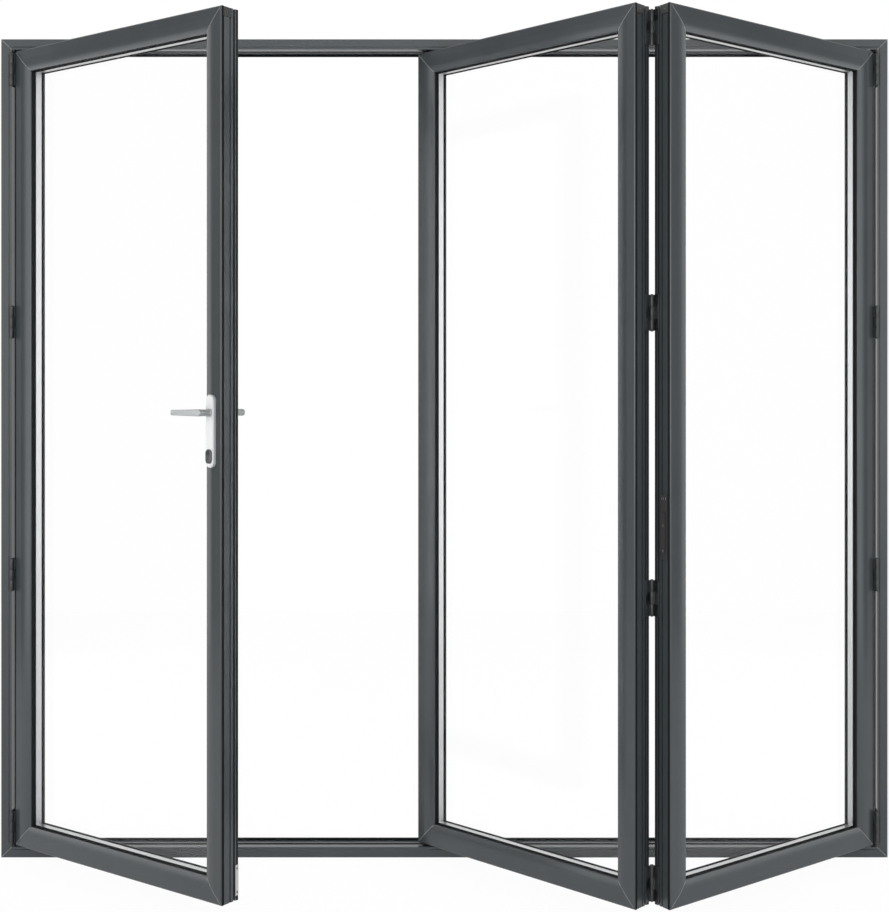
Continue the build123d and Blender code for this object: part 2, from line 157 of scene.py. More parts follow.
def bumps(tree, height, depth_mm, strength=1.0):
    bump = add_node(
        tree,
        "Bump",
        {"Strength": strength, "Distance": depth_mm * MM},
        {"Height": height},
    )
    return bump.outputs["Normal"]


# Finishes, each named for its real material

COAT_VARIATION = 0.008


def satin_powder_coat(name):
    """Satin anthracite polyester powder coat on extruded aluminium.

    To the eye: a dark blue-grey skin with a soft sheen, faintly dimpled like orange peel, that
    turns pale where the rolled inner edges mirror the side cards.
    """
    wanted = bpy.context.scene.door_finishes
    material, tree = new_material(name)
    dark, light = (*wanted.coat_dark, 1), (*wanted.coat_light, 1)
    tint = blend_colours(tree, grains(tree, 120.0), dark, light)
    gloss = wanted.coat_roughness
    rough = between(tree, grains(tree, 35.0), gloss - COAT_VARIATION, gloss + COAT_VARIATION)
    # Real orange peel is about 1.5 mm across; it is drawn at 4 mm so that it shows.
    peel = bumps(tree, grains(tree, 4.0), 0.05, 0.35)
    coat = add_node(
        tree,
        "BsdfPrincipled",
        {"IOR": 1.5, "Specular IOR Level": 0.5},
        {"Base Color": tint, "Roughness": rough, "Normal": peel},
    )
    show(tree, coat.outputs["BSDF"])
    return material


def clear_float_glass(name):
    """Clear float glass: no tint of its own, a clean mirror sheen, and no dark shadow."""
    material, tree = new_material(name)
    glass = add_node(
        tree,
        "BsdfPrincipled",
        {
            "Base Color": linear("#ffffff"),
            "Roughness": 0.0,
            "IOR": 1.12,
            "Transmission Weight": 1.0,
        },
    )
    clear = add_node(tree, "BsdfTransparent", {"Color": linear("#fcfcfc")})
    path = add_node(tree, "LightPath")
    mixed = add_node(tree, "MixShader", links={"Fac": path.outputs["Is Shadow Ray"]})
    tree.links.new(glass.outputs["BSDF"], mixed.inputs[1])
    tree.links.new(clear.outputs["BSDF"], mixed.inputs[2])
    show(tree, mixed.outputs["Shader"])
    return material


def plain_finish(
    name, dark, light, roughness, grain_mm, depth_mm, metallic=0.0, stretch=(1, 1, 1), shine=0.5
):
    """A finish of two close colours in fine grains, with the grain's own relief and gloss."""
    material, tree = new_material(name)
    grain = grains(tree, grain_mm, 3.0, stretch)
    shader = add_node(
        tree,
        "BsdfPrincipled",
        {"Metallic": metallic, "Specular IOR Level": shine},
        {
            "Base Color": blend_colours(tree, grain, linear(dark), linear(light)),
            "Roughness": between(tree, grain, roughness - 0.05, roughness + 0.05),
            "Normal": bumps(tree, grain, depth_mm, 0.5),
        },
    )
    show(tree, shader.outputs["BSDF"])
    return material


def extruded_rubber(name):
    """EPDM gasket rubber: a deep matt black whose fine die lines soften any highlight."""
    return plain_finish(name, "#08090a", "#0f1113", 0.62, 2.5, 0.06, shine=0.15)


def moulded_nylon(name):
    """Glass-filled nylon, moulded: near black with a dry, slightly speckled sheen."""
    return plain_finish(name, "#141516", "#202122", 0.5, 1.2, 0.05)


def mill_finish_aluminium(name):
    """Mill-finished aluminium spacer bar: pale and dull between the panes."""
    return plain_finish(name, "#c4c6c7", "#dadbdc", 0.4, 1.5, 0.03, 1.0)


def black_hinge_coat(name):
    """Black-coated hinge steel: a dark satin skin, mottled where hands have rubbed it."""
    return plain_finish(name, "#15171a", "#2c3033", 0.4, 6.0, 0.05)


def coated_zinc_casting(name):
    """Coated zinc casting: a warm charcoal, dull, with the light texture of a cast skin."""
    return plain_finish(name, "#1f1f1f", "#2a2929", 0.5, 2.0, 0.06)


def mitre_line_painted_highlight(name):
    """Sealer worked into a mitre: a paler grey line where two coated bars meet, its pale grey a
    painted highlight of the light that a mitre's edges catch.
    """
    return plain_finish(name, "#7b7e80", "#8c8f91", 0.45, 3.0, 0.02)


def bright_steel(name):
    """Stainless steel screws: bright, lightly turned."""
    return plain_finish(name, "#a9abad", "#c6c8c9", 0.3, 0.8, 0.02, 1.0)


def dark_nickel(name):
    """Satin nickel on brass: the lock cylinder's dull grey metal."""
    return plain_finish(name, "#4c4d4f", "#666769", 0.38, 1.0, 0.02, 1.0)


def satin_anodised(name):
    """Satin silver anodised aluminium: mid grey metal, brushed so that highlights run soft."""
    return plain_finish(name, "#8f9192", "#a0a2a3", 0.4, 1.2, 0.02, 0.55, (1, 1, 0.06))


def silver_lacquer(name):
    """Silver lacquer on a cast plate: pale, nearly white, with fine metal flake in its gloss."""
    return plain_finish(name, "#abacad", "#b8b9ba", 0.45, 0.9, 0.015, 0.2)


FINISHES = {
    "powder_coat": satin_powder_coat,
    "clear_glass": clear_float_glass,
    "black_rubber": extruded_rubber,
    "black_nylon": moulded_nylon,
    "spacer_bar": mill_finish_aluminium,
    "black_hardware": black_hinge_coat,
    "bolt_casting": coated_zinc_casting,
    # The mitre hairlines' pale grey is a painted highlight along each mitred corner.
    "mitre_painted_highlight": mitre_line_painted_highlight,
    "steel": bright_steel,
    "dark_steel": dark_nickel,
    "satin_silver": satin_anodised,
    "silver_plate": silver_lacquer,
}

# The CAD nodes that wear each finish; those not named here wear the powder coat.
WORN_BY = {
    "clear_glass": ("door_panes", "middle_panes", "right_panes"),
    "black_rubber": (
        "frame_seals",
        "door_glazing_seals",
        "middle_glazing_seals",
        "right_glazing_seals",
        "door_edge_seals",
        "folding_edge_seals",
    ),
    "black_nylon": ("track_liners", "guide_carriages"),
    "spacer_bar": ("door_spacer", "folding_spacers"),
    "black_hardware": (
        "left_jamb_hinges",
        "right_jamb_hinges",
        "right_leaf_hinges",
        "door_hinges",
        "fold_hinges_right",
        "fold_hinges_middle",
        "guide_brackets",
    ),
    "bolt_casting": ("fold_bolt_plate", "fold_bolt_lever", "door_edge_cap", "folding_edge_caps"),
    "steel": ("lever_spindle", "door_catch_plate"),
    "dark_steel": ("key_cylinder",),
    "satin_silver": ("outside_lever", "inside_lever"),
    "silver_plate": ("outside_backplate", "inside_backplate"),
}


def finish(look):
    """The material of a look, made once and named for its finish."""
    made = FINISHES[look]
    return bpy.data.materials.get(made.__name__) or made(made.__name__)


# Modelling helpers


def start():
    """Leaves edit mode and deselects everything, so that a new piece stands alone."""
    if bpy.context.object and bpy.context.object.mode != "OBJECT":
        bpy.ops.object.mode_set(mode="OBJECT")
    bpy.ops.object.select_all(action="DESELECT")


def settle(piece, name, slot, body, place=None, smooth=None, look=None):
    """Names a finished piece, puts its place in its mesh, and gives it its body and the finish of
    its look, or else of its slot.
    """
    if piece.mode != "OBJECT":
        bpy.ops.object.mode_set(mode="OBJECT")
    if place is not None:
        piece.matrix_world = place @ piece.matrix_world
    bpy.ops.object.select_all(action="DESELECT")
    piece.select_set(True)
    bpy.context.view_layer.objects.active = piece
    bpy.ops.object.transform_apply(location=True, rotation=True, scale=True)
    if smooth is not None:
        bpy.ops.object.shade_smooth_by_angle(angle=math.radians(smooth))
    piece.name = name
    piece.data.name = name
    piece.data.materials.clear()
    piece.data.materials.append(finish(look or slot))
    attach(piece, body)
    return piece


def join_pieces(pieces):
    """Several objects as one."""
    bpy.ops.object.select_all(action="DESELECT")
    for piece in pieces:
        piece.select_set(True)
    bpy.context.view_layer.objects.active = pieces[0]
    bpy.ops.object.join()
    return pieces[0]


def copies(piece, places):
    """One copy of the piece for each place, each with its own mesh, joined into one object."""
    made = []
    for place in places:
        twin = piece.copy()
        twin.data = piece.data.copy()
        bpy.context.scene.collection.objects.link(twin)
        twin.matrix_world = place @ piece.matrix_world
        made.append(twin)
    bpy.data.objects.remove(piece)
    for twin in made:
        bpy.ops.object.select_all(action="DESELECT")
        twin.select_set(True)
        bpy.context.view_layer.objects.active = twin
        bpy.ops.object.transform_apply(location=True, rotation=True, scale=True)
    return join_pieces(made) if len(made) > 1 else made[0]


def bare_corner():
    """A piece in edit mode with one selected point at the origin, left over from a plane."""
    start()
    bpy.ops.mesh.primitive_plane_add(size=MM)
    piece = bpy.context.object
    for point in piece.data.vertices:
        point.select = point.index != 0
    for flat in (*piece.data.edges, *piece.data.polygons):
        flat.select = False
    bpy.ops.object.mode_set(mode="EDIT")
    bpy.context.tool_settings.mesh_select_mode = (True, False, False)
    bpy.ops.mesh.delete(type="VERT")
    bpy.ops.mesh.select_all(action="SELECT")
    bpy.ops.transform.translate(value=(MM / 2, MM / 2, 0))
    return piece


def draw(points):
    """Moves the selected corner to the first point and draws on to the rest, in millimetres."""
    spots = [Vector(point) * MM for point in points]
    bpy.ops.transform.translate(value=spots[0])
    for near, far in zip(spots, spots[1:]):
        bpy.ops.mesh.extrude_region_move(TRANSFORM_OT_translate={"value": far - near})


def close_up():
    """Merges doubled points and turns every face outwards."""
    bpy.ops.mesh.select_all(action="SELECT")
    bpy.ops.mesh.remove_doubles(threshold=MM / 100)
    bpy.ops.mesh.normals_make_consistent(inside=False)


def turned(profile, sides=32):
    """A profile of radius and height points, in millimetres, turned round the Z axis."""
    piece = bare_corner()
    draw([(radius, 0, height) for radius, height in profile])
    bpy.ops.mesh.select_all(action="SELECT")
    bpy.ops.mesh.spin(steps=sides, angle=2 * math.pi, center=(0, 0, 0), axis=(0, 0, 1))
    close_up()
    bpy.ops.object.mode_set(mode="OBJECT")
    return piece


def swept_ring(section, width, height):
    """A closed section run round a rectangle with mitred corners, centred on the origin.

    The section's points, in millimetres, are the distance inwards from the rectangle's edge
    and the height over its face.
    """
    start()
    bpy.ops.mesh.primitive_plane_add(size=1)
    ring = bpy.context.object
    loops = [Vector((width - 2 * x * MM, height - 2 * x * MM, z * MM)) for x, z in section]
    middle = (0, 0, 0)
    bpy.ops.object.mode_set(mode="EDIT")
    bpy.ops.mesh.delete(type="ONLY_FACE")
    bpy.ops.mesh.select_all(action="SELECT")
    bpy.ops.transform.resize(value=(loops[0].x, loops[0].y, 1), center_override=middle)
    bpy.ops.transform.translate(value=(0, 0, loops[0].z))
    for near, far in zip(loops, loops[1:] + loops[:1]):
        rise = {"value": (0, 0, far.z - near.z)}
        bpy.ops.mesh.extrude_region_move(TRANSFORM_OT_translate=rise)
        stretch = (far.x / near.x, far.y / near.y, 1)
        bpy.ops.transform.resize(value=stretch, center_override=middle)
    close_up()
    bpy.ops.object.mode_set(mode="OBJECT")
    return ring


def ribbon(points, width, thickness):
    """A strip along points in the XZ plane, that wide along Y and centred in its thickness."""
    strip = bare_corner()
    draw([(x, -width / 2, z) for x, z in points])
    bpy.ops.mesh.select_all(action="SELECT")
    bpy.ops.mesh.extrude_region_move(TRANSFORM_OT_translate={"value": (0, width * MM, 0)})
    close_up()
    bpy.ops.object.mode_set(mode="OBJECT")
    wall = {"thickness": thickness * MM, "offset": 0}
    return finished_with(strip, "SOLIDIFY", **wall)


def finished_with(piece, kind, **settings):
    """The piece with a modifier of that kind applied."""
    bpy.context.view_layer.objects.active = piece
    bpy.ops.object.modifier_add(type=kind)
    modifier = piece.modifiers[-1]
    for name, value in settings.items():
        setattr(modifier, name, value)
    bpy.ops.object.modifier_apply(modifier=modifier.name)
    return piece


def softened(piece, radius, segments=3):
    """The piece with its sharp edges rounded at a radius in millimetres."""
    return finished_with(
        piece,
        "BEVEL",
        width=radius * MM,
        segments=segments,
        limit_method="ANGLE",
        angle_limit=math.radians(40),
    )


def block(low, high, corner=0.0, rim=0.0):
    """A plate between two corners, in millimetres, its upright edges and its rims rounded."""
    start()
    low, high = Vector(low) * MM, Vector(high) * MM
    bpy.ops.mesh.primitive_cube_add(size=1, location=(low + high) / 2)
    plate = bpy.context.object
    plate.scale = high - low
    bpy.ops.object.transform_apply(location=True, rotation=True, scale=True)
    if corner:
        bpy.context.tool_settings.mesh_select_mode = (False, True, False)
        points = plate.data.vertices
        for point in points:
            point.select = False
        for face in plate.data.polygons:
            face.select = False
        for edge in plate.data.edges:
            first, second = (points[index].co for index in edge.vertices)
            edge.select = abs(first.z - second.z) > MM / 100
        bpy.ops.object.mode_set(mode="EDIT")
        bpy.ops.mesh.bevel(offset=corner * MM, segments=5, affect="EDGES")
        bpy.ops.object.mode_set(mode="OBJECT")
    return softened(plate, rim, 2) if rim else plate


def cut_out(piece, cutter):
    """The piece less the cutter, which is used up."""
    finished_with(piece, "BOOLEAN", operation="DIFFERENCE", solver="EXACT", object=cutter)
    bpy.data.objects.remove(cutter)
    return piece


def screw_head(radius, rise):
    """A domed countersunk head with a cross recess, its rim level with the plate."""
    crown = [(0, -0.8), (radius * 0.7, -0.8), (radius, -0.05), (radius, 0.05)]
    crown += [(radius * 0.8, rise * 0.7), (radius * 0.4, rise), (0, rise)]
    head = turned(crown, 24)
    arm, half = radius * 0.62, radius * 0.13
    bars = [block((-arm, -half, -0.3), (arm, half, 2)), block((-half, -arm, -0.3), (half, arm, 2))]
    for bar in bars:
        cut_out(head, bar)
    return head


def axes(x, y, z, origin):
    """A place whose own directions and origin are those given."""
    place = Matrix((x, y, z)).transposed().to_4x4()
    place.translation = origin
    return place


# Where the leaves stand, read from the CAD frame


def leaf_frame(leaf):
    """A leaf's front face, as a matrix from its lower left corner: x across, y up, z outwards.

    With it come the leaf's width and height.
    """
    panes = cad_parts[f"{leaf}_panes"].data
    largest = max(panes.polygons, key=lambda face: face.area).normal
    out = Vector((largest.x, largest.y, 0)).normalized()
    if out.y > 0:
        out = -out
    across = UP.cross(out)
    points = [v.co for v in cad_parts[f"{leaf}_stiles"].data.vertices]
    along = [p.dot(across) for p in points]
    depth = max(p.dot(out) for p in points)
    heights = [p.z for p in points]
    corner = across * min(along) + out * depth + UP * min(heights)
    return axes(across, UP, out, corner), max(along) - min(along), max(heights) - min(heights)


BODY_OF_LEAF = {"door": "traffic_door", "middle": "frame", "right": "frame"}
LEAVES = {leaf: leaf_frame(leaf) for leaf in BODY_OF_LEAF}
FRAME_BOX = [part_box("left_jamb")[0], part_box("right_jamb")[1]]


def front_centre(leaf):
    """The middle of a leaf's front face as a place, with the leaf's width and height."""
    place, width, height = LEAVES[leaf]
    return place @ Matrix.Translation((width / 2, height / 2, 0)), width, height


def at(place, x, y, z):
    """A point given in millimetres in a place's own directions."""
    return place @ Vector((x * MM, y * MM, z * MM))


# Sections in millimetres: distance inwards from the outer edge, height over the front face

GLAZING_LINING = [
    (46, -19),
    (46, -15),
    (56.05, -15),
    (56.05, -9.6),
    (56.7, -8.9),
    (57.4, -9.8),
    (57.5, -14),
    (58.2, -15.4),
    (58.6, -17.2),
    (58.2, -18.6),
    (57.2, -19),
]
INNER_GASKET = [
    (46, -46),
    (46, -43),
    (57.4, -43),
    (58, -43.8),
    (58, -45.2),
    (57.2, -46),
]
FRONT_EDGE_SEAL = [
    (3, -8.5),
    (3, -4),
    (0.1, -4),
    (0.1, -1.6),
    (-0.2, -1.8),
    (-0.4, -2.6),
    (-0.5, -4.8),
    (0.3, -5.5),
    (-0.5, -6.25),
    (0.3, -7),
    (-0.5, -7.7),
    (0.4, -8.5),
]
REAR_EDGE_SEAL = [
    (3, -50),
    (3, -45.5),
    (0.4, -45.5),
    (-0.5, -46.3),
    (0.3, -47),
    (-0.5, -47.75),
    (0.3, -48.5),
    (-0.5, -49.2),
    (0.4, -50),
]
BULB_SEAL = [
    (26, -62),
    (26, -60.4),
    (27, -60.2),
    (27.2, -58.6),
    (28.4, -57.4),
    (30, -57.4),
    (31.2, -58.6),
    (31.2, -60.4),
    (31, -62),
]
MITRE_OF_LEAF = [
    (5, 0),
    (24, 0),
    (29.3, -0.18),
    (34.7, -0.72),
    (40, -1.63),
    (45.3, -2.9),
    (50.7, -4.55),
    (53.6, -5.6),
    (55.4, -7.3),
    (56, -9.3),
]
MITRE_BEHIND_LEAF = [(1, -51), (54.5, -51)]
MITRE_OF_FRAME = [(0.4, 0), (19, 0), (20.5, -1.5), (25.8, -1.5)]


# Settings


class DoorFinishes(bpy.types.PropertyGroup):
    coat_dark: bpy.props.FloatVectorProperty(
        name="Coat, dark",
        description="Darker tone of the powder coat",
        subtype="COLOR",
        default=linear("#303538")[:3],
    )
    coat_light: bpy.props.FloatVectorProperty(
        name="Coat, light",
        description="Lighter tone of the powder coat",
        subtype="COLOR",
        default=linear("#383d40")[:3],
    )
    coat_roughness: bpy.props.FloatProperty(
        name="Coat roughness", description="Gloss of the powder coat", default=0.23, min=0, max=1
    )


class DoorDetails(bpy.types.PropertyGroup):
    mitre_width: bpy.props.FloatProperty(
        name="Mitre width",
        description="Width of the sealed line at each mitred corner",
        default=0.9 * MM,
        unit="LENGTH",
    )
    mitre_proud: bpy.props.FloatProperty(
        name="Mitre relief",
        description="How far the sealed line stands off the metal",
        default=0.12 * MM,
        unit="LENGTH",
    )


class DoorStudio(bpy.types.PropertyGroup):
    floor_size: bpy.props.FloatProperty(
        name="Floor size", description="Side of the floor", default=8.0, unit="LENGTH"
    )
    floor_glow: bpy.props.FloatProperty(
        name="Floor white", description="Share of the floor that is plain white", default=0.95
    )
    room_level: bpy.props.FloatProperty(
        name="Room light", description="Strength of the light from all round", default=0.85
    )
    strip_power: bpy.props.FloatProperty(
        name="Side strips", description="Power of each tall side light", default=25.0, unit="POWER"
    )
    card_bright: bpy.props.FloatProperty(
        name="Side cards", description="Glow of each side card at its front end", default=3.2
    )
    front_card: bpy.props.FloatProperty(
        name="Front card", description="Glow of the card behind the camera", default=1.6
    )
    furniture_power: bpy.props.FloatProperty(
        name="Lever light",
        description="Power of the light on the lever",
        default=40.0,
        unit="POWER",
    )
    rail_power: bpy.props.FloatProperty(
        name="Rail lights",
        description="Power of each light on the rails",
        default=18.0,
        unit="POWER",
    )
    front_power: bpy.props.FloatProperty(
        name="Front light", description="Power of the front soft light", default=70.0, unit="POWER"
    )
    lens: bpy.props.FloatProperty(
        name="Lens", description="Focal length of the camera in millimetres", default=55.1
    )


# Operators


class DOOR_OT_finish_frame(bpy.types.Operator):
    """Give every CAD piece the finish of its real material"""

    bl_idname = "door.finish_frame"
    bl_label = "Finish CAD Pieces"

    def execute(self, context):
        slot_of = {node: slot for slot, nodes in WORN_BY.items() for node in nodes}
        for name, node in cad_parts.items():
            node.data.materials.clear()
            node.data.materials.append(finish(slot_of.get(name, "powder_coat")))
        return {"FINISHED"}


class DOOR_OT_glazing_gaskets(bpy.types.Operator):
    """Line the glass rebates with their rubber gaskets"""

    bl_idname = "door.glazing_gaskets"
    bl_label = "Glazing Gaskets"

    def execute(self, context):
        for leaf, body in BODY_OF_LEAF.items():
            middle, width, height = front_centre(leaf)
            rings = [swept_ring(part, width, height) for part in (GLAZING_LINING, INNER_GASKET)]
            gasket = join_pieces(rings)
            settle(gasket, f"{leaf}_gaskets", "black_rubber", body, middle, 40)
            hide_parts(f"{leaf}_glazing_seals")
        return {"FINISHED"}


class DOOR_OT_edge_seals(bpy.types.Operator):
    """Fit the ribbed seals round the leaves and the bulb seal round the opening"""

    bl_idname = "door.edge_seals"
    bl_label = "Edge Seals"

    def ribbed(self, leaf):
        middle, width, height = front_centre(leaf)
        rings = [swept_ring(part, width, height) for part in (FRONT_EDGE_SEAL, REAR_EDGE_SEAL)]
        for ring in rings:
            ring.matrix_world = middle
        return join_pieces(rings)

    def execute(self, context):
        door = settle(self.ribbed("door"), "door_ribbed_seals", "black_rubber", "traffic_door")
        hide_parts("door_edge_seals")
        pair = join_pieces([self.ribbed("middle"), self.ribbed("right")])
        settle(pair, "folding_ribbed_seals", "black_rubber", "frame")
        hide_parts("folding_edge_seals")
        low, high = FRAME_BOX
        centre = Vector(((low.x + high.x) / 2, low.y, (low.z + high.z) / 2))
        bulb = swept_ring(BULB_SEAL, high.x - low.x, high.z - low.z)
        place = axes(Vector((1, 0, 0)), UP, Vector((0, -1, 0)), centre)
        settle(bulb, "bulb_seal", "black_rubber", "frame", place, 40)
        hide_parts("frame_seals")
        return {"FINISHED"}


class DOOR_OT_mitre_joints(bpy.types.Operator):
    """Seal the mitred corners of the leaves and of the frame with pale hairlines, a painted
    highlight along each mitre
    """

    bl_idname = "door.mitre_joints"
    bl_label = "Mitre Joints"

    def joints(self, section, width, height, sealed):
        """A hairline along the diagonal of each corner, on the front face."""
        diagonal = [(x * math.sqrt(2), z) for x, z in section]
        line = ribbon(diagonal, sealed.mitre_width / MM, 2 * sealed.mitre_proud / MM)
        corners = ((0, 0), (width, 0), (width, height), (0, height))
        spots = []
        for number, (x, y) in enumerate(corners):
            turn = Matrix.Rotation(math.radians(45 + 90 * number), 4, "Z")
            spots.append(Matrix.Translation((x, y, 0)) @ turn)
        return copies(line, spots)

    def execute(self, context):
        sealed = context.scene.door_details
        for leaf, body in BODY_OF_LEAF.items():
            place, width, height = LEAVES[leaf]
            sections = (MITRE_OF_LEAF, MITRE_BEHIND_LEAF)
            lines = [self.joints(part, width, height, sealed) for part in sections]
            name = f"{leaf}_mitres"
            # The leaves' mitre hairlines are pale grey, a painted highlight along each corner.
            settle(join_pieces(lines), name, "powder_coat", body, place, look="mitre_painted_highlight")
        low, high = FRAME_BOX
        lines = self.joints(MITRE_OF_FRAME, high.x - low.x, high.z - low.z, sealed)
        place = axes(Vector((1, 0, 0)), UP, Vector((0, -1, 0)), low)
        # The frame's mitre hairlines are pale grey too, a painted highlight along each corner.
        settle(lines, "frame_mitres", "powder_coat", "frame", place, look="mitre_painted_highlight")
        return {"FINISHED"}


class DOOR_OT_hinges(bpy.types.Operator):
    """Make the hinges with their turned barrels, washers, pins and screws"""

    bl_idname = "door.hinges"
    bl_label = "Hinges"

    LENGTH = 82.0
    RADIUS = 5.0
    GAP = 0.5
    LEVELS = (78.0, 726.0, 1374.0, 2022.0)
    # From a pin's axis: to the faces beside it, and to the leaf's front face
    SIDE_FACE = 2.5
    SIDE_PROUD = 9.0
    FOLD_FACE = 4.0
    FOLD_BEHIND = 56.5
    SIDE_PLATE = 2.0
    FOLD_PLATE = 2.5
    SIDE_REACH = 34.0
    FOLD_REACH = 21.5
    SCREWS = 4
    SCREW_RADIUS = 2.9
    SCREW_DOME = 0.25

    def knuckle_spans(self, pinned):
        knuckle = (self.LENGTH - 2 * self.GAP) / 3
        middle = (knuckle + self.GAP, 2 * knuckle + self.GAP)
        ends = ((0.0, knuckle), (self.LENGTH - knuckle, self.LENGTH))
        return ends if pinned else (middle,)

    def barrel(self, low, high):
        """One knuckle, its rims rounded."""
        radius = self.RADIUS
        rims = [(radius - 0.8, low), (radius - 0.2, low + 0.2), (radius, low + 0.8)]
        rims += [(radius, high - 0.8), (radius - 0.2, high - 0.2), (radius - 0.8, high)]
        return turned([(0, low), *rims, (0, high)], 32)

    def half(self, face, thick, reach, pinned):
        """One half of a hinge: x towards the face that it is screwed to, y along that face."""
        side = 1 if reach > 0 else -1
        edges = sorted((side * (self.RADIUS + self.GAP), reach))
        plate = block((face - thick, edges[0], 0), (face, edges[1], self.LENGTH), 0, 0.4)
        pieces = [plate]
        for low, high in self.knuckle_spans(pinned):
            across = sorted((0, reach - side * thick))
            pieces.append(block((face - thick, across[0], low), (face, across[1], high), 0, 0.3))
            pieces.append(self.barrel(low, high))
        return pieces

    def screws(self, face, thick, reach):
        """The screws in the plate, their heads towards the pin."""
        side = 1 if reach > 0 else -1
        near, far = side * (self.RADIUS + 6.5), reach - side * 6.0
        turn = Matrix.Rotation(math.radians(-90), 4, "Y")
        spots = []
        for number in range(self.SCREWS):
            rise = self.LENGTH * (number + 0.5) / self.SCREWS
            spot = Vector((face - thick, near if number % 2 else far, rise)) * MM
            spots.append(Matrix.Translation(spot) @ turn)
        return copies(screw_head(self.SCREW_RADIUS, self.SCREW_DOME), spots)

    def row(self, piece, axis, toward):
        """The piece at every level of a row of hinges on an upright axis."""
        spots = []
        for level in self.LEVELS:
            origin = Vector((axis.x, axis.y, (level - self.LENGTH / 2) * MM))
            spots.append(axes(toward, UP.cross(toward), UP, origin))
        return copies(piece, spots)

    def execute(self, context):
        door, _, _ = LEAVES["door"]
        right, right_width, _ = LEAVES["right"]
        left_axis = at(door, -self.SIDE_FACE, 0, self.SIDE_PROUD)
        right_axis = at(right, right_width / MM + self.SIDE_FACE, 0, self.SIDE_PROUD)
        fold_axis = at(right, -self.FOLD_FACE, 0, -self.FOLD_BEHIND)
        across = {leaf: LEAVES[leaf][0].to_3x3().col[0].copy() for leaf in LEAVES}
        jamb = Vector((1, 0, 0))
        side = (self.SIDE_FACE, self.SIDE_PLATE)
        fold = (self.FOLD_FACE, self.FOLD_PLATE)
        # name, node, body, axis, towards the face, face and plate, reach, pinned
        halves = (
            ("left_frame_hinges", "left_jamb_hinges", "frame",
             left_axis, -jamb, side, -self.SIDE_REACH, True),
            ("right_frame_hinges", "right_jamb_hinges", "frame",
             right_axis, jamb, side, self.SIDE_REACH, True),
            ("door_leaf_hinges", "door_hinges", "traffic_door",
             left_axis, across["door"], side, self.SIDE_REACH, False),
            ("right_edge_hinges", "right_leaf_hinges", "frame",
             right_axis, -across["right"], side, -self.SIDE_REACH, False),
            ("fold_hinges_on_right", "fold_hinges_right", "frame",
             fold_axis, across["right"], fold, -self.FOLD_REACH, True),
            ("fold_hinges_on_middle", "fold_hinges_middle", "frame",
             fold_axis, -across["middle"], fold, self.FOLD_REACH, False),
        )
        screws = {"frame": [], "traffic_door": []}
        for name, node, body, axis, toward, (face, thick), reach, pinned in halves:
            half = join_pieces(self.half(face, thick, reach, pinned))
            row = settle(self.row(half, axis, toward), name, "black_hardware", body, smooth=35)
            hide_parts(node)
            screws[body].append(self.row(self.screws(face, thick, reach), axis, toward))
        for body, rows in screws.items():
            part = "door" if body == "traffic_door" else "frame"
            settle(join_pieces(rows), f"{part}_hinge_screws", "black_hardware", body, smooth=35)
        self.pins((left_axis, right_axis, fold_axis))
        return {"FINISHED"}

    def pins(self, axes_of_rows):
        """Domed pin heads on the ends of each barrel, and the washers between its knuckles."""
        knuckle = (self.LENGTH - 2 * self.GAP) / 3
        dome = [(0, -1), (3.6, -1), (3.6, 0.3), (3.1, 1.1), (1.8, 1.6), (0, 1.8)]
        upper = turned([(x, z + self.LENGTH) for x, z in dome], 24)
        lower = turned([(x, -z) for x, z in dome], 24)
        heads = join_pieces([upper, lower])
        rings = []
        for low in (knuckle, 2 * knuckle + self.GAP):
            high = low + self.GAP
            edge = self.RADIUS + 0.15
            rings.append(turned([(0, low - 0.1), (edge, low), (edge, high), (0, high + 0.1)], 32))
        washers = join_pieces(rings)
        for piece, name, slot in (
            (heads, "hinge_pin_heads", "black_hardware"),
            (washers, "hinge_washers", "black_nylon"),
        ):
            rows = []
            for axis in axes_of_rows:
                twin = piece.copy()
                twin.data = piece.data.copy()
                bpy.context.scene.collection.objects.link(twin)
                rows.append(self.row(twin, axis, Vector((1, 0, 0))))
            bpy.data.objects.remove(piece)
            settle(join_pieces(rows), name, slot, "frame", smooth=35)


